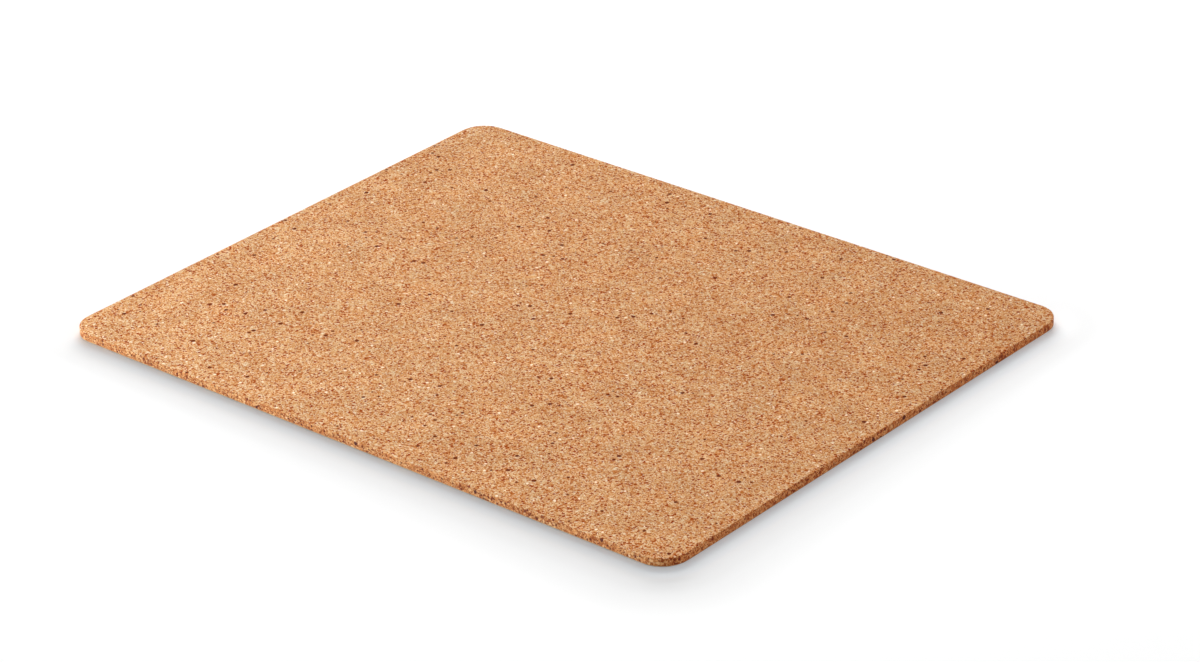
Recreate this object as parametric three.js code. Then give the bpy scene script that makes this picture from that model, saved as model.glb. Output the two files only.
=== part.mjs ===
// Cork mouse pad: agglomerated cork bonded to a thin grip backing, and cut through both layers by one die.
// Millimetres, +Z up. The origin lies on the desk under the middle of the pad, +X along its long side.
import * as THREE from 'three';

// Plan, the same for every layer because the stack is cut as one
const PAD_LENGTH = 250;
const PAD_WIDTH = 200;
const CORNER_RADIUS = 9.25;

// Layers, from the top down
const CORK_THICKNESS = 2.5;
const ADHESIVE_THICKNESS = 0.05;
const BACKING_THICKNESS = 0.3;

// Rounds along the cut edge
const TOP_EDGE_RADIUS = 0.35; // the cork rolls over where the die goes in
const BOTTOM_EDGE_RADIUS = 0.15; // left on the backing where the die comes out

// Facets of each round, and the least round that a drawn-in corner keeps
const CORNER_STEPS = 16;
const EDGE_STEPS = 4;
const LEAST_CORNER_RADIUS = 0.05;

// Finishes
const CORK_FINISH = { color: 0xd49d70, roughness: 0.85, metalness: 0 };
const ADHESIVE_FINISH = { color: 0xc9a878, roughness: 0.4, metalness: 0 };
const RUBBER_FINISH = { color: 0xb98a5c, roughness: 0.8, metalness: 0 };

const QUARTER_TURN = Math.PI / 2;

// Points around the pad's plan, drawn in by an inset, with corners that stay concentric.
function planPoints(inset) {
  const radius = Math.max(CORNER_RADIUS - inset, LEAST_CORNER_RADIUS);
  const reachX = PAD_LENGTH / 2 - inset - radius;
  const reachY = PAD_WIDTH / 2 - inset - radius;
  const centres = [
    [reachX, -reachY],
    [reachX, reachY],
    [-reachX, reachY],
    [-reachX, -reachY],
  ];
  return centres.flatMap(([x, y], corner) => {
    const start = (corner - 1) * QUARTER_TURN;
    const arc = new THREE.ArcCurve(x, y, radius, start, start + QUARTER_TURN);
    return arc.getPoints(CORNER_STEPS);
  });
}

// A quarter round in section, as steps from the side face to the flat face.
// Each step is drawn in from the side by its inset, and lies below or above the flat face by its depth.
function edgeRound(radius) {
  return Array.from({ length: EDGE_STEPS + 1 }, (_, step) => {
    const angle = (step / EDGE_STEPS) * QUARTER_TURN;
    return { inset: radius * (1 - Math.cos(angle)), depth: radius * (1 - Math.sin(angle)) };
  });
}

// A closed sheet lofted through the pad's plan at each level, from the lowest to the highest.
function loftSheet(levels) {
  const rings = levels.map(({ inset, z }) => planPoints(inset).map(({ x, y }) => new THREE.Vector3(x, y, z)));
  const count = rings[0].length;
  const topStart = (rings.length - 1) * count;
  const faces = [];
  for (let low = 0; low < topStart; low += count) {
    const high = low + count;
    for (let i = 0; i < count; i += 1) {
      const next = (i + 1) % count;
      faces.push([low + i, low + next, high + next], [low + i, high + next, high + i]);
    }
  }
  const bottomCap = THREE.ShapeUtils.triangulateShape(rings[0], []);
  const topCap = THREE.ShapeUtils.triangulateShape(rings.at(-1), []);
  bottomCap.forEach(([a, b, c]) => faces.push([c, b, a]));
  topCap.forEach(([a, b, c]) => faces.push([topStart + a, topStart + b, topStart + c]));
  const geometry = new THREE.BufferGeometry().setFromPoints(rings.flat());
  geometry.setIndex(faces.flat());
  geometry.computeVertexNormals();
  return geometry;
}

function makeLayer(name, levels, finish, bottom) {
  const layer = new THREE.Mesh(loftSheet(levels), new THREE.MeshStandardMaterial(finish));
  layer.name = name;
  layer.position.z = bottom;
  return layer;
}

// Thin sheet of natural rubber that the pad stands on, which keeps it from sliding over the desk.
function makeGripBacking() {
  const bottomRound = edgeRound(BOTTOM_EDGE_RADIUS).reverse();
  const levels = [
    ...bottomRound.map(({ inset, depth }) => ({ inset, z: depth })),
    { inset: 0, z: BACKING_THICKNESS },
  ];
  return makeLayer('grip_backing', levels, RUBBER_FINISH, 0);
}

// Transfer film of adhesive that bonds the cork to the backing, face to face with both.
function makeAdhesiveFilm() {
  const levels = [
    { inset: 0, z: 0 },
    { inset: 0, z: ADHESIVE_THICKNESS },
  ];
  return makeLayer('adhesive_film', levels, ADHESIVE_FINISH, BACKING_THICKNESS);
}

// Sheet of agglomerated cork granules, sanded flat on both faces.
function makeCorkSheet() {
  const topRound = edgeRound(TOP_EDGE_RADIUS);
  const levels = [
    { inset: 0, z: 0 },
    ...topRound.map(({ inset, depth }) => ({ inset, z: CORK_THICKNESS - depth })),
  ];
  return makeLayer('cork_sheet', levels, CORK_FINISH, BACKING_THICKNESS + ADHESIVE_THICKNESS);
}

const mousePad = new THREE.Group();
mousePad.add(makeGripBacking(), makeAdhesiveFilm(), makeCorkSheet());

export default mousePad;
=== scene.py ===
import math

import bmesh
import bpy
from mathutils import Matrix, Vector


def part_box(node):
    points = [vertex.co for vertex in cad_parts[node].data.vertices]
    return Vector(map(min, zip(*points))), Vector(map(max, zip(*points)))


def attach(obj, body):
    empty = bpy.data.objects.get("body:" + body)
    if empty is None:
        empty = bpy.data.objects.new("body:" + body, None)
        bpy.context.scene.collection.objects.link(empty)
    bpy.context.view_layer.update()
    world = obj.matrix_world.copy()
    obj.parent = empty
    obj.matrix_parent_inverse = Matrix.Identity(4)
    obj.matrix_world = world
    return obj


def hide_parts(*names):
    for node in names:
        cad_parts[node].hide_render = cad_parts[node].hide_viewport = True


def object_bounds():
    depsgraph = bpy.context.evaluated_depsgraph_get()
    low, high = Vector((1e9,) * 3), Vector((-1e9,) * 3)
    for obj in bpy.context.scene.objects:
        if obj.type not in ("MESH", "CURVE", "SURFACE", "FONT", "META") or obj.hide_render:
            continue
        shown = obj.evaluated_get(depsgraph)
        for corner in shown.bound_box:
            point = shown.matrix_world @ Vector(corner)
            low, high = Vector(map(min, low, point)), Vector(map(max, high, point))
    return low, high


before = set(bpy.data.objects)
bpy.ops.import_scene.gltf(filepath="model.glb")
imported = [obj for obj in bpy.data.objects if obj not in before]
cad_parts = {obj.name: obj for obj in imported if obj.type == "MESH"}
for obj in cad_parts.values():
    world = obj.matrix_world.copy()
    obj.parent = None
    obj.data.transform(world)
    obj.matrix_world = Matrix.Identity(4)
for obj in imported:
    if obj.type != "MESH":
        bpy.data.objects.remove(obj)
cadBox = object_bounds()  # the CAD model's box, before anything is added
mm = 0.001
print("frame loaded:", ", ".join(sorted(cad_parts)))


# helpers for materials

def linear(hexColour):
    # sRGB "#rrggbb" to the linear colour that a shader socket takes
    parts = [int(hexColour[i:i + 2], 16) / 255 for i in (1, 3, 5)]
    return tuple(p / 12.92 if p <= 0.04045 else ((p + 0.055) / 1.055) ** 2.4 for p in parts) + (1.0,)


def addNode(owner, kind, inputs=None, ramp=None, **settings):
    # adds one shader node: settings are its properties, inputs are numbers or sockets to link
    tree = owner.node_tree
    node = tree.nodes.new("ShaderNode" + kind)
    for name, value in settings.items():
        setattr(node, name, value)
    for index, (spot, colour) in enumerate(ramp or []):
        stops = node.color_ramp.elements
        stop = stops[index] if index < len(stops) else stops.new(spot)
        stop.position = spot
        stop.color = linear(colour)
    for name, value in (inputs or {}).items():
        if isinstance(value, bpy.types.NodeSocket):
            tree.links.new(value, node.inputs[name])
        else:
            node.inputs[name].default_value = value
    return node


def newMaterial(name):
    material = bpy.data.materials.new(name)
    material.use_nodes = True
    material.node_tree.nodes.clear()
    return material


def inMillimetres(material):
    # place on the piece in mm, so that a pattern's scale is one over its size
    place = addNode(material, "TexCoord").outputs["Object"]
    return addNode(material, "Mapping", {"Vector": place, "Scale": (1 / mm,) * 3}).outputs["Vector"]


# agglomerated cork: bark ground to granules, pressed with binder, then sanded on the faces and cut by a die.
# Sanded, it is a matt tan of many small tones with dark chips of bark.
# Cut, its side is darker and redder: partly its torn cells, partly painted shade of the sides.
corkLook = {
    "coarseGranule": 0.85,      # mm across
    "fineGranule": 0.4,         # mm across
    "tear": 0.22,               # mm that a granule's outline wanders
    "tearSpacing": 0.5,         # mm along the outline
    "binderLine": 0.05,         # mm of dark binder beside each granule
    "binderShare": 0.45,        # of the colour in that line
    "fleckSpacing": 2.6,        # mm between places that may hold a pale fleck
    "fleckSize": 0.5,           # mm, the largest fleck's radius
    "fleckShare": 0.5,          # of the places that hold one
    "poreSpacing": 1.1,         # the same for open pores, whose dark colour is painted shade of their pits
    "poreSize": 0.5,
    "poreShare": 0.65,
    "barkSpacing": 3.5,         # and for chips of bark
    "barkSize": 0.8,
    "barkShare": 0.35,
    "grit": 0.25,               # mm, pores that the sanding left
    "gritTone": (1.3, 0.72),    # gamma of the colour in those pores and between them: darker and redder in the pores as painted shade, paler between them
    "mottle": 11,               # mm, slow change of tone
    "mottleTone": (0.93, 1.07),
    "domeWidth": 0.35,          # share of a granule over which its edge curves down
    "toneRise": 0.8,            # height of a pale granule over a dark one, against that curve
    "gritRise": 0.6,            # height of the ground between pores
    "roughSpread": 0.08,        # either way, from dark granules to pale ones
}
sandedTones = {
    "granules": [
        (0.0, "#9b3a07"), (0.13, "#bc6a2d"), (0.33, "#cf8d52"), (0.55, "#d8a369"), (0.75, "#dfb583"),
        (1.0, "#e5cea9")],
    "binder": "#a84306",
    # pore: painted shade of the open pits
    "pore": "#953404",
    "bark": "#6d2504",
    "fleck": "#f7dfc1",
    "wholeShare": 0.12,         # of the coarse granules, those that stayed whole
    "roughness": 0.62,
    "shine": 0.04,
    "relief": 0.012,            # mm
}
# die-cut side: darker, redder tones, partly its torn cells and partly painted shade of the sides
cutTonesAndPaintedShade = {
    "granules": [
        (0.0, "#6e2503"), (0.15, "#954511"), (0.42, "#c17338"), (0.7, "#d18b4c"), (1.0, "#dfae75")],
    "binder": "#783107",
    # pore: painted shade of the open pits
    "pore": "#692303",
    "bark": "#4f1603",
    "fleck": "#ddc098",
    "wholeShare": 0.3,
    "roughness": 0.7,
    "shine": 0.35,
    "relief": 0.04,             # mm
}


def corkMaterial(name, tones):
    look = corkLook
    material = newMaterial(name)
    place = inMillimetres(material)
    wander = addNode(material, "TexNoise", {"Vector": place, "Scale": 1 / look["tearSpacing"], "Detail": 2.0})
    torn = addNode(material, "VectorMath", {
        0: wander.outputs["Color"], 1: (look["tear"],) * 3, 2: place}, operation="MULTIPLY_ADD").outputs[0]

    # granules of two sizes: a coarse one either stayed whole or shows the fine ones that it broke into
    coarse = addNode(material, "TexVoronoi", {"Vector": torn, "Scale": 1 / look["coarseGranule"]})
    fine = addNode(material, "TexVoronoi", {"Vector": torn, "Scale": 1 / look["fineGranule"]})
    coarseDraw = addNode(material, "SeparateColor", {"Color": coarse.outputs["Color"]})
    fineDraw = addNode(material, "SeparateColor", {"Color": fine.outputs["Color"]})
    whole = addNode(material, "Math", {
        0: coarseDraw.outputs["Green"], 1: 1 - tones["wholeShare"]}, operation="GREATER_THAN").outputs[0]
    tone = addNode(material, "Mix", {
        "Factor": whole, "A": fineDraw.outputs["Red"], "B": coarseDraw.outputs["Red"]}).outputs[0]
    granules = addNode(material, "ValToRGB", {"Fac": tone}, ramp=tones["granules"]).outputs["Color"]

    # binder in the lines between granules
    coarseLine = addNode(material, "TexVoronoi", {
        "Vector": torn, "Scale": 1 / look["coarseGranule"]}, feature="DISTANCE_TO_EDGE").outputs["Distance"]
    fineLine = addNode(material, "TexVoronoi", {
        "Vector": torn, "Scale": 1 / look["fineGranule"]}, feature="DISTANCE_TO_EDGE").outputs["Distance"]
    line = addNode(material, "Mix", {"Factor": whole, "A": fineLine, "B": coarseLine}).outputs[0]
    binder = addNode(material, "MapRange", {
        "Value": line, "From Max": look["binderLine"] / look["fineGranule"],
        "To Min": look["binderShare"], "To Max": 0.0}, interpolation_type="SMOOTHSTEP").outputs[0]
    colour = addNode(material, "MixRGB", {
        "Fac": binder, "Color1": granules, "Color2": linear(tones["binder"])}).outputs["Color"]

    # pale flecks, open pores and chips of bark, each of its own size, in some of the places that may hold
    # one. The pores' dark colour is painted shade of their pits.
    # Each kind's places are moved by its own offset, in mm, so that the kinds don't coincide
    for kind, offset in (("fleck", 37.0), ("pore", 71.0), ("bark", 113.0)):
        spacing = look[kind + "Spacing"]
        moved = addNode(material, "VectorMath", {0: torn, 1: (offset, offset, offset)}).outputs[0]
        spots = addNode(material, "TexVoronoi", {"Vector": moved, "Scale": 1 / spacing})
        draw = addNode(material, "SeparateColor", {"Color": spots.outputs["Color"]}).outputs["Red"]
        reach = addNode(material, "MapRange", {
            "Value": draw, "From Min": 1 - look[kind + "Share"],
            "To Max": look[kind + "Size"] / spacing}).outputs[0]
        inside = addNode(material, "Math", {
            0: spots.outputs["Distance"], 1: reach}, operation="LESS_THAN").outputs[0]
        colour = addNode(material, "MixRGB", {
            "Fac": inside, "Color1": colour, "Color2": linear(tones[kind])}).outputs["Color"]

    # pores left by sanding, darkened and reddened as painted shade, and slow mottling: each noise is spread
    # over the range that it mostly keeps to
    grit = addNode(material, "TexNoise", {
        "Vector": place, "Scale": 1 / look["grit"], "Detail": 2.0}).outputs["Fac"]
    slow = addNode(material, "TexNoise", {
        "Vector": place, "Scale": 1 / look["mottle"], "Detail": 3.0}).outputs["Fac"]
    depth = addNode(material, "MapRange", {
        "Value": grit, "From Min": 0.25, "From Max": 0.75,
        "To Min": look["gritTone"][0], "To Max": look["gritTone"][1]}).outputs[0]
    slowShade = addNode(material, "MapRange", {
        "Value": slow, "From Min": 0.3, "From Max": 0.7,
        "To Min": look["mottleTone"][0], "To Max": look["mottleTone"][1]}).outputs[0]
    # painted shade: darker, redder colour in the sanding pores
    colour = addNode(material, "Gamma", {"Color": colour, "Gamma": depth}).outputs["Color"]
    colour = addNode(material, "VectorMath", {0: colour, "Scale": slowShade}, operation="SCALE").outputs[0]

    # relief: rounded granules, low binder lines and pores
    dome = addNode(material, "MapRange", {
        "Value": line, "From Max": look["domeWidth"], "To Max": 1.0},
        interpolation_type="SMOOTHSTEP").outputs[0]
    uneven = addNode(material, "Math", {
        0: tone, 1: look["toneRise"], 2: dome}, operation="MULTIPLY_ADD").outputs[0]
    height = addNode(material, "Math", {
        0: grit, 1: look["gritRise"], 2: uneven}, operation="MULTIPLY_ADD").outputs[0]
    bump = addNode(material, "Bump", {
        "Height": height, "Strength": 1.0, "Distance": tones["relief"] * mm}).outputs["Normal"]
    rough = addNode(material, "MapRange", {
        "Value": tone, "To Min": tones["roughness"] + look["roughSpread"],
        "To Max": tones["roughness"] - look["roughSpread"]}).outputs[0]
    shader = addNode(material, "BsdfPrincipled", {
        "Base Color": colour, "Roughness": rough, "Normal": bump, "IOR": 1.45,
        "Specular IOR Level": tones["shine"]})
    addNode(material, "OutputMaterial", {"Surface": shader.outputs["BSDF"]})
    return material


# natural rubber sheet, undyed and calendered: a matt honey tan, slightly cloudy, with talc in its low places
rubberLook = {
    "body": [(0.0, "#a97a4f"), (0.5, "#b38458"), (1.0, "#bd8e62")],
    "talc": "#dcc8aa",
    "talcShare": 0.55,          # of the colour in the low places
    "talcLeast": 0.6,           # of that share, where the clouds are dark
    "cloud": 9,                 # mm
    "grain": 0.25,              # mm, print of the calender roll
    "grainDepth": 0.03,         # mm
    "roughness": (0.65, 0.9),   # in the grain's low and high places
}


def rubberMaterial():
    material = newMaterial("calenderedNaturalRubber")
    place = inMillimetres(material)
    cloud = addNode(material, "TexNoise", {
        "Vector": place, "Scale": 1 / rubberLook["cloud"], "Detail": 5.0}).outputs["Fac"]
    grain = addNode(material, "TexNoise", {
        "Vector": place, "Scale": 1 / rubberLook["grain"], "Detail": 2.0}).outputs["Fac"]
    body = addNode(material, "MapRange", {"Value": cloud, "From Min": 0.3, "From Max": 0.7}).outputs[0]
    colour = addNode(material, "ValToRGB", {"Fac": body}, ramp=rubberLook["body"]).outputs["Color"]

    # talc lies in the channels between the studs, on faces that look down
    level = addNode(material, "SeparateXYZ", {"Vector": place}).outputs["Z"]
    facing = addNode(material, "TexCoord").outputs["Normal"]
    facing = addNode(material, "SeparateXYZ", {"Vector": facing}).outputs["Z"]
    down = addNode(material, "MapRange", {"Value": facing, "From Min": -0.5, "From Max": -0.9}).outputs[0]
    dusty = addNode(material, "MapRange", {
        "Value": level, "From Max": gripBacking["studHeight"], "To Max": rubberLook["talcShare"]}).outputs[0]
    dusty = addNode(material, "Math", {0: dusty, 1: down}, operation="MULTIPLY").outputs[0]
    patchy = addNode(material, "MapRange", {"Value": body, "To Min": rubberLook["talcLeast"]}).outputs[0]
    dusty = addNode(material, "Math", {0: dusty, 1: patchy}, operation="MULTIPLY").outputs[0]
    colour = addNode(material, "MixRGB", {
        "Fac": dusty, "Color1": colour, "Color2": linear(rubberLook["talc"])}).outputs["Color"]
    rough = addNode(material, "MapRange", {
        "Value": grain, "To Min": rubberLook["roughness"][0],
        "To Max": rubberLook["roughness"][1]}).outputs[0]
    bump = addNode(material, "Bump", {
        "Height": grain, "Strength": 0.6, "Distance": rubberLook["grainDepth"] * mm}).outputs["Normal"]
    shader = addNode(material, "BsdfPrincipled", {
        "Base Color": colour, "Roughness": rough, "Normal": bump, "IOR": 1.52})
    addNode(material, "OutputMaterial", {"Surface": shader.outputs["BSDF"]})
    return material


# acrylic transfer adhesive: a clear amber film, of which only the cut edge shows, with a few fine bubbles
adhesiveLook = {
    "film": [(0.0, "#b08a56"), (1.0, "#d6b889")],
    "bubble": 0.6,              # mm
    "roughness": 0.35,
}


def adhesiveMaterial():
    material = newMaterial("acrylicTransferAdhesive")
    place = inMillimetres(material)
    bubble = addNode(material, "TexVoronoi", {
        "Vector": place, "Scale": 1 / adhesiveLook["bubble"]}).outputs["Distance"]
    colour = addNode(material, "ValToRGB", {"Fac": bubble}, ramp=adhesiveLook["film"]).outputs["Color"]
    shader = addNode(material, "BsdfPrincipled", {
        "Base Color": colour, "Roughness": adhesiveLook["roughness"], "IOR": 1.47})
    addNode(material, "OutputMaterial", {"Surface": shader.outputs["BSDF"]})
    return material


# helpers for meshes

cornerRadius = 9.25 * mm  # of the die that cuts every layer
sameHeight = 0.01 * mm    # points this close in height lie on one level


def startSheet(name, node, level, pitch):
    # a grid with the plan of a CAD layer, whose corner squares are drawn in to quarter discs row by row
    low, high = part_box(node)
    size = high - low
    bpy.ops.object.select_all(action="DESELECT")
    bpy.ops.mesh.primitive_grid_add(
        x_subdivisions=round(size.x / pitch), y_subdivisions=round(size.y / pitch), size=size.x,
        location=((low.x + high.x) / 2, (low.y + high.y) / 2, level))
    sheet = bpy.context.object
    sheet.name = sheet.data.name = name
    bpy.ops.object.transform_apply(location=True)
    bpy.ops.object.mode_set(mode="EDIT")
    bpy.ops.transform.resize(value=(1, size.y / size.x, 1))
    bpy.ops.object.mode_set(mode="OBJECT")
    for vertex in sheet.data.vertices:
        across = abs(vertex.co.x) - (size.x / 2 - cornerRadius)
        along = abs(vertex.co.y) - (size.y / 2 - cornerRadius)
        if across > 0 and along > 0:
            inwards = 1 - max(across, along) / math.hypot(across, along)
            vertex.co.x -= math.copysign(across * inwards, vertex.co.x)
            vertex.co.y -= math.copysign(along * inwards, vertex.co.y)
    return sheet


def selectOnly(sheet, kind, wanted):
    # leaves only the wanted edges or faces selected, in edit mode
    bpy.ops.mesh.select_mode(type=kind)
    bpy.ops.mesh.select_all(action="DESELECT")
    mesh = bmesh.from_edit_mesh(sheet.data)
    mesh.normal_update()
    for item in mesh.edges if kind == "EDGE" else mesh.faces:
        if wanted(item):
            item.select_set(True)
    bmesh.update_edit_mesh(sheet.data)


def isBorder(edge):
    return len(edge.link_faces) == 1


def isRim(edge):
    # where a flat face, of level near 1, meets the upright side, of level near 0
    levels = sorted(abs(face.normal.z) for face in edge.link_faces)
    return len(levels) == 2 and levels[0] < 0.3 and levels[1] > 0.95


def isUpright(edge):
    run = edge.verts[0].co - edge.verts[1].co
    return abs(run.z) > 0.99 * run.length


def displace(sheet, group, size, depth, octaves):
    # pushes the points of a vertex group in and out along their normals by a noise, size and depth in mm
    noise = bpy.data.textures.new(sheet.name + group.capitalize(), "CLOUDS")
    noise.noise_scale = size * mm
    noise.noise_depth = octaves
    push = sheet.modifiers.new("displace", "DISPLACE")
    push.texture = noise
    push.texture_coords = "LOCAL"
    push.vertex_group = group
    push.mid_level = 0.5
    push.strength = depth * mm
    bpy.context.view_layer.objects.active = sheet
    bpy.ops.object.modifier_apply(modifier=push.name)


# map for baked colours: the face as large as fits, then a strip for each side, then the hidden underside
bakeMap = {
    "margin": 0.01,
    "right": 0.81,              # where each strip starts
    "left": 0.85,
    "back": 0.89,
    "front": 0.93,
    "under": 0.97,
    "sideScale": 3,             # sides are drawn taller than the face's scale gives
    "underScale": 0.025,
}


def mapForBake(sheet, low, high):
    length = high.x - low.x
    margin = bakeMap["margin"]
    inner = 1 - 2 * margin
    layer = sheet.data.uv_layers.new(name="OFBake")
    for face in sheet.data.polygons:
        facing = face.normal
        for corner in face.loop_indices:
            spot = (sheet.data.vertices[sheet.data.loops[corner].vertex_index].co - low) / length
            if facing.z > 0.5:
                place = (spot.x, margin + inner * spot.y)
            elif facing.z < -0.9:
                place = (spot.x, bakeMap["under"] + bakeMap["underScale"] * spot.y)
            elif abs(facing.x) > abs(facing.y):
                strip = bakeMap["right"] if facing.x > 0 else bakeMap["left"]
                place = (spot.y, strip + bakeMap["sideScale"] * spot.z)
            else:
                strip = bakeMap["back"] if facing.y > 0 else bakeMap["front"]
                place = (spot.x, strip + bakeMap["sideScale"] * spot.z)
            layer.data[corner].uv = (margin + inner * place[0], place[1])


# cork sheet: a sanded face of fine relief, a rolled upper edge and a crumbly side
corkSheet = {
    "gridPitch": 0.85,          # mm between points on the face
    "edgeRound": 0.2,           # mm
    "edgeSteps": 3,
    "sideRows": 4,
    "faceWave": 0.06,           # mm, slow unevenness
    "waveSize": 14,             # mm
    "faceGrain": 0.05,          # mm, granules standing proud
    "faceGranule": 0.9,         # mm
    "sideGrain": 0.09,          # mm, torn granules
    "sideGranule": 0.8,         # mm
    "smoothAngle": 50,          # degrees between faces that still shade as one
}


def makeCorkSheet():
    low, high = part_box("cork_sheet")
    sheet = startSheet("corkSheet", "cork_sheet", high.z, corkSheet["gridPitch"] * mm)
    bpy.ops.object.mode_set(mode="EDIT")
    selectOnly(sheet, "EDGE", isBorder)
    bpy.ops.mesh.extrude_edges_move(TRANSFORM_OT_translate={"value": (0, 0, low.z - high.z)})
    bpy.ops.mesh.edge_face_add()  # underside, which the adhesive covers
    bpy.ops.mesh.select_all(action="SELECT")
    bpy.ops.mesh.normals_make_consistent(inside=False)
    selectOnly(sheet, "EDGE", lambda edge: isRim(edge) and edge.verts[0].co.z > high.z - sameHeight)
    bpy.ops.mesh.bevel(
        offset=corkSheet["edgeRound"] * mm, segments=corkSheet["edgeSteps"], profile=0.5, affect="EDGES")
    selectOnly(sheet, "EDGE", lambda edge: isUpright(edge) and edge.calc_length() > 1 * mm)
    bpy.ops.mesh.subdivide(number_cuts=corkSheet["sideRows"])
    bpy.ops.object.mode_set(mode="OBJECT")

    # points that the relief may move: the sanded face, and the cut side above its lowest row
    faceGroup = sheet.vertex_groups.new(name="face")
    sideGroup = sheet.vertex_groups.new(name="side")
    crest = high.z - 0.4 * corkSheet["edgeRound"] * mm  # between two rows of the rolled edge
    points = sheet.data.vertices
    faceGroup.add([v.index for v in points if v.co.z > crest], 1, "REPLACE")
    sideGroup.add([v.index for v in points if low.z + sameHeight < v.co.z < crest], 1, "REPLACE")
    displace(sheet, "face", corkSheet["waveSize"], corkSheet["faceWave"], octaves=2)
    displace(sheet, "face", corkSheet["faceGranule"], corkSheet["faceGrain"], octaves=1)
    displace(sheet, "side", corkSheet["sideGranule"], corkSheet["sideGrain"], octaves=2)

    # the cut side has its own tones, darker and redder, partly painted shade, from halfway round the rolled
    # edge down
    sheet.data.materials.append(corkMaterial("agglomeratedCorkSanded", sandedTones))
    sheet.data.materials.append(corkMaterial("agglomeratedCorkDieCutAndPaintedShade", cutTonesAndPaintedShade))
    bpy.ops.object.mode_set(mode="EDIT")
    selectOnly(sheet, "FACE", lambda face: face.normal.z < 0.75)
    sheet.active_material_index = 1
    bpy.ops.object.material_slot_assign()
    bpy.ops.object.mode_set(mode="OBJECT")
    bpy.ops.object.shade_smooth_by_angle(angle=math.radians(corkSheet["smoothAngle"]))
    mapForBake(sheet, low, high)
    return sheet


# grip backing: rubber with rows of low square studs on the side that meets the desk
gripBacking = {
    "studPitch": 2.5,           # mm
    "studGap": 0.3,             # mm from a stud's foot to its cell's border
    "studLean": 0.08,           # mm that a stud's wall leans in
    "studHeight": 0.1,          # mm
    "edgeRound": 0.1,           # mm
    "edgeSteps": 2,
    "smoothAngle": 30,          # degrees between faces that still shade as one
}


def makeGripBacking():
    low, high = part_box("grip_backing")
    rise = gripBacking["studHeight"] * mm
    sheet = startSheet("gripBacking", "grip_backing", low.z + rise, gripBacking["studPitch"] * mm)
    bpy.ops.object.mode_set(mode="EDIT")
    bpy.ops.mesh.select_all(action="SELECT")
    bpy.ops.mesh.flip_normals()  # the studded side looks down
    bpy.ops.mesh.inset(
        use_individual=True, use_boundary=True, use_even_offset=True, thickness=gripBacking["studGap"] * mm)
    bpy.ops.mesh.inset(
        use_individual=True, use_boundary=True, use_even_offset=True,
        thickness=gripBacking["studLean"] * mm, depth=rise)
    selectOnly(sheet, "EDGE", isBorder)
    bpy.ops.mesh.extrude_edges_move(TRANSFORM_OT_translate={"value": (0, 0, high.z - low.z - rise)})
    bpy.ops.mesh.edge_face_add()  # face under the adhesive
    bpy.ops.mesh.select_all(action="SELECT")
    bpy.ops.mesh.normals_make_consistent(inside=False)
    selectOnly(sheet, "EDGE", lambda edge: isRim(edge) and edge.verts[0].co.z < high.z - sameHeight)
    bpy.ops.mesh.bevel(
        offset=gripBacking["edgeRound"] * mm, segments=gripBacking["edgeSteps"], profile=0.5, affect="EDGES")
    bpy.ops.object.mode_set(mode="OBJECT")
    sheet.data.materials.append(rubberMaterial())
    bpy.ops.object.shade_smooth_by_angle(angle=math.radians(gripBacking["smoothAngle"]))
    return sheet


# pieces

cork = makeCorkSheet()
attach(cork, "root")
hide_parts("cork_sheet")
print("cork sheet:", len(cork.data.polygons), "faces")

backing = makeGripBacking()
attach(backing, "root")
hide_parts("grip_backing")
print("grip backing:", len(backing.data.polygons), "faces")

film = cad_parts["adhesive_film"]
film.data.materials.clear()
film.data.materials.append(adhesiveMaterial())
print("adhesive film: finish on the CAD layer")


# stage: white floor, white surroundings, soft boxes

stage = {
    "floorSize": 6,             # m
    "floorColour": "#eeeeee",
    "edgeColour": "#dbe6ee",    # painted shadow before the two front sides: darker than the floor, and cool against the light that the cork throws
    "edgeReach": 7,             # mm from the pad where that painted shadow ends
    "edgeBlend": 0.3,           # how softly it ends at the left and right corners
    "liftNear": 0.11,           # light that only the camera sees, on the floor beside the pad
    "liftFar": 0.26,            # and out of the pad's shadow
    "liftStart": 12,            # mm from the pad where it begins to grow
    "liftReach": 30,            # mm from the pad where it is full
    "liftRight": 0.05,          # more of it close to the side at +X
    "rightReach": (4, 9),       # mm from that side where it begins to fade and is gone
    "liftHorizon": 0.45,        # more of it far away, where the soft boxes no longer reach
    "horizonReach": (0.2, 1),   # m from the pad where that begins and is full
    "ambient": 0.475,           # of the white surroundings, as light
}


def seenRay(owner):
    # 1 for rays that show the background to the camera, straight or by reflection or through glass
    path = addNode(owner, "LightPath")
    mirrored = addNode(owner, "Math", {
        0: path.outputs["Is Glossy Ray"], 1: path.outputs["Is Transmission Ray"]},
        operation="MAXIMUM").outputs[0]
    return addNode(owner, "Math", {
        0: path.outputs["Is Camera Ray"], 1: mirrored}, operation="MAXIMUM").outputs[0]


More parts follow.
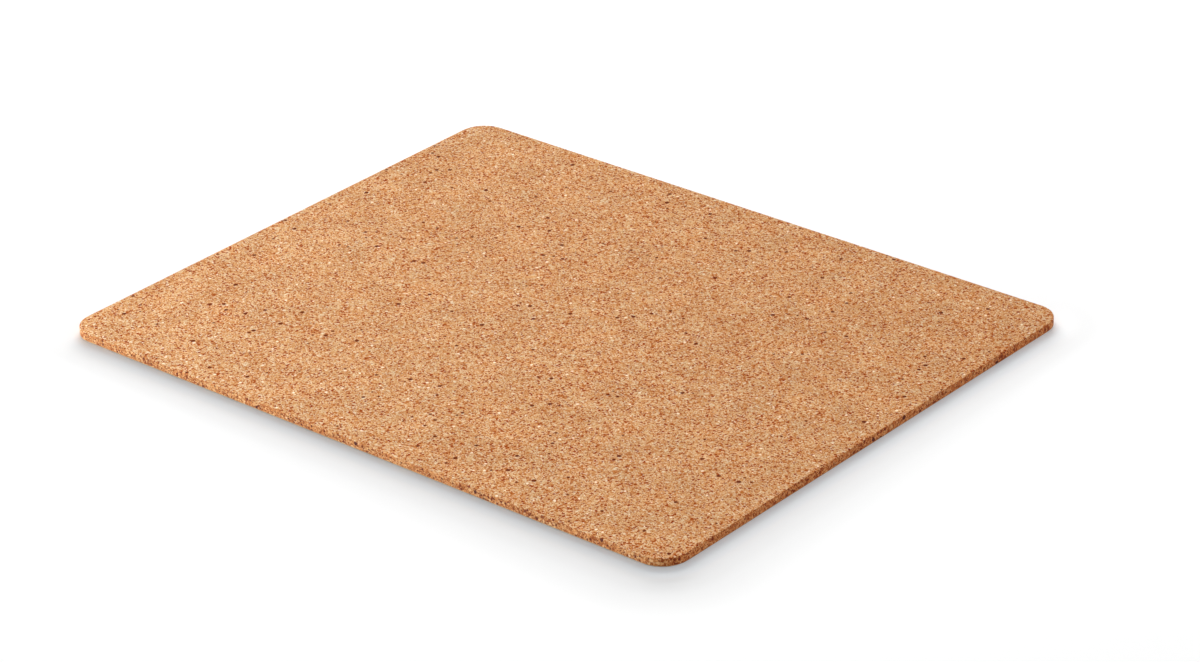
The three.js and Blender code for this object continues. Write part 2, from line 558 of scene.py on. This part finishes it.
def makeFloor():
    bpy.ops.object.select_all(action="DESELECT")
    bpy.ops.mesh.primitive_plane_add(size=stage["floorSize"])
    floor = bpy.context.object
    floor.name = "floor"
    material = newMaterial("whitePaperSweep")
    high = cadBox[1]

    # distance from the pad's rounded plan
    place = addNode(material, "TexCoord").outputs["Object"]
    folded = addNode(material, "VectorMath", {0: place}, operation="ABSOLUTE").outputs[0]
    straight = (high.x - cornerRadius, high.y - cornerRadius, 0)
    outside = addNode(material, "VectorMath", {0: folded, 1: straight}, operation="SUBTRACT").outputs[0]
    clamped = addNode(material, "VectorMath", {0: outside, 1: (0, 0, 0)}, operation="MAXIMUM").outputs[0]
    reach = addNode(material, "VectorMath", {0: clamped}, operation="LENGTH").outputs["Value"]
    away = addNode(material, "Math", {0: reach, 1: cornerRadius}, operation="SUBTRACT").outputs[0]

    # light that only the camera sees
    lift = addNode(material, "MapRange", {
        "Value": away, "From Min": stage["liftStart"] * mm, "From Max": stage["liftReach"] * mm,
        "To Min": stage["liftNear"], "To Max": stage["liftFar"]}).outputs[0]
    horizon = addNode(material, "MapRange", {
        "Value": away, "From Min": stage["horizonReach"][0], "From Max": stage["horizonReach"][1],
        "To Max": stage["liftHorizon"]}).outputs[0]
    lift = addNode(material, "Math", {0: lift, 1: horizon}).outputs[0]
    across = addNode(material, "SeparateXYZ", {"Vector": place}).outputs["X"]
    right = addNode(material, "MapRange", {
        "Value": across, "From Min": high.x - cornerRadius, "From Max": high.x,
        "To Max": stage["liftRight"]}).outputs[0]
    right = addNode(material, "MapRange", {
        "Value": away, "From Min": stage["rightReach"][0] * mm, "From Max": stage["rightReach"][1] * mm,
        "To Min": right, "To Max": 0.0}).outputs[0]
    lift = addNode(material, "Math", {0: lift, 1: right}).outputs[0]
    shown = addNode(material, "Math", {0: lift, 1: seenRay(material)}, operation="MULTIPLY").outputs[0]

    # painted shadow, darker and cool, before the two front sides, where a place dotted with this vector is
    # above 0
    towardsFront = (1 / high.x, -1 / high.y, 0)
    forward = addNode(material, "VectorMath", {
        0: place, 1: towardsFront}, operation="DOT_PRODUCT").outputs["Value"]
    behind = addNode(material, "MapRange", {
        "Value": forward, "From Max": stage["edgeBlend"], "To Min": 1.0, "To Max": 0.0}).outputs[0]
    far = addNode(material, "MapRange", {
        "Value": away, "From Max": stage["edgeReach"] * mm, "To Min": behind}).outputs[0]
    # painted shadow on the floor, darker and cool close to the front sides
    colour = addNode(material, "MixRGB", {
        "Fac": far, "Color1": linear(stage["edgeColour"]),
        "Color2": linear(stage["floorColour"])}).outputs["Color"]
    shader = addNode(material, "BsdfPrincipled", {
        "Base Color": colour, "Roughness": 1.0, "Specular IOR Level": 0.0,
        "Emission Color": (1, 1, 1, 1), "Emission Strength": shown})
    addNode(material, "OutputMaterial", {"Surface": shader.outputs["BSDF"]})
    floor.data.materials.append(material)
    return floor


def makeWorld():
    world = bpy.data.worlds.new("whiteStudio")
    bpy.context.scene.world = world
    world.use_nodes = True
    world.node_tree.nodes.clear()
    strength = addNode(world, "Mix", {"Factor": seenRay(world), "A": stage["ambient"], "B": 1.0}).outputs[0]
    background = addNode(world, "Background", {"Color": (1, 1, 1, 1), "Strength": strength})
    addNode(world, "OutputWorld", {"Surface": background.outputs["Background"]})


# soft boxes: bearing in degrees from +X towards +Y, height in degrees, distance and size in m, power in W
softBoxes = {
    "back": {"bearing": 131, "height": 40, "distance": 1.3, "size": (1.0, 0.4), "power": 6.6},
    "leftBack": {"bearing": 176, "height": 40, "distance": 1.3, "size": (1.0, 0.4), "power": 1.2},
    "key": {
        "bearing": 230, "height": 18, "distance": 0.8, "size": (0.5, 0.3), "power": 9.9,
        "colour": "#d5ebff", "lights": "pad"},
    "fill": {
        "bearing": 15, "height": 12, "distance": 1.0, "size": (0.6, 0.3), "power": 1.6,
        "colour": "#ffb878", "lights": "pad"},
    "lowBack": {
        "bearing": 131, "height": 15, "distance": 1.3, "size": (1.0, 0.3), "power": 22,
        "lights": "floor"},
}


def makeSoftBox(name, box):
    lamp = bpy.data.lights.new(name, "AREA")
    lamp.shape = "RECTANGLE"
    lamp.size, lamp.size_y = box["size"]
    lamp.energy = box["power"]
    lamp.color = linear(box.get("colour", "#ffffff"))[:3]
    holder = bpy.data.objects.new(name, lamp)
    bpy.context.scene.collection.objects.link(holder)
    bearing, height = math.radians(box["bearing"]), math.radians(box["height"])
    towards = Vector((
        math.cos(bearing) * math.cos(height), math.sin(bearing) * math.cos(height), math.sin(height)))
    holder.location = towards * box["distance"]
    holder.rotation_mode = "QUATERNION"
    holder.rotation_quaternion = towards.to_track_quat("Z", "Y")
    holder.visible_camera = False
    return holder


# camera, fitted to the outline in the photo
viewpoint = {
    "imageWidth": 1200,         # pixels
    "focalLength": 4141,        # pixels
    "azimuth": 41.08,           # degrees
    "elevation": 27.08,         # degrees
    "roll": 1.85,               # degrees
    "distance": 1.3249,         # m
    "lookAt": (11.08, 4.65, 0.3),   # mm
}


def makeCamera():
    azimuth, elevation, roll = (math.radians(viewpoint[k]) for k in ("azimuth", "elevation", "roll"))
    level = math.cos(elevation)
    back = Vector((math.sin(azimuth) * level, -math.cos(azimuth) * level, math.sin(elevation)))
    right = Vector((math.cos(azimuth), math.sin(azimuth), 0))
    up = back.cross(right)
    sideways = right * math.cos(roll) - up * math.sin(roll)
    upwards = right * math.sin(roll) + up * math.cos(roll)
    pose = Matrix((sideways, upwards, back)).transposed().to_4x4()
    pose.translation = Vector(viewpoint["lookAt"]) * mm + back * viewpoint["distance"]
    camera = bpy.data.objects.new("camera", bpy.data.cameras.new("camera"))
    camera.matrix_world = pose
    camera.data.sensor_width = 36
    camera.data.lens = viewpoint["focalLength"] * camera.data.sensor_width / viewpoint["imageWidth"]
    bpy.context.scene.collection.objects.link(camera)
    bpy.context.scene.camera = camera


floor = makeFloor()
makeWorld()
receivers = {"pad": [cork, backing, film], "floor": [floor]}
for name, box in softBoxes.items():
    lamp = makeSoftBox(name, box)
    if "lights" in box:  # the key and the fill shape the pad alone, and the low box the shadow alone
        lit = bpy.data.collections.new(box["lights"] + "Only")
        for piece in receivers[box["lights"]]:
            lit.objects.link(piece)
        lamp.light_linking.receiver_collection = lit
makeCamera()
bpy.context.scene.view_settings.view_transform = "Standard"
# with lamps that light only some objects, the light tree gives wrong levels
bpy.context.scene.cycles.use_light_tree = False
print("stage, lights and camera placed")
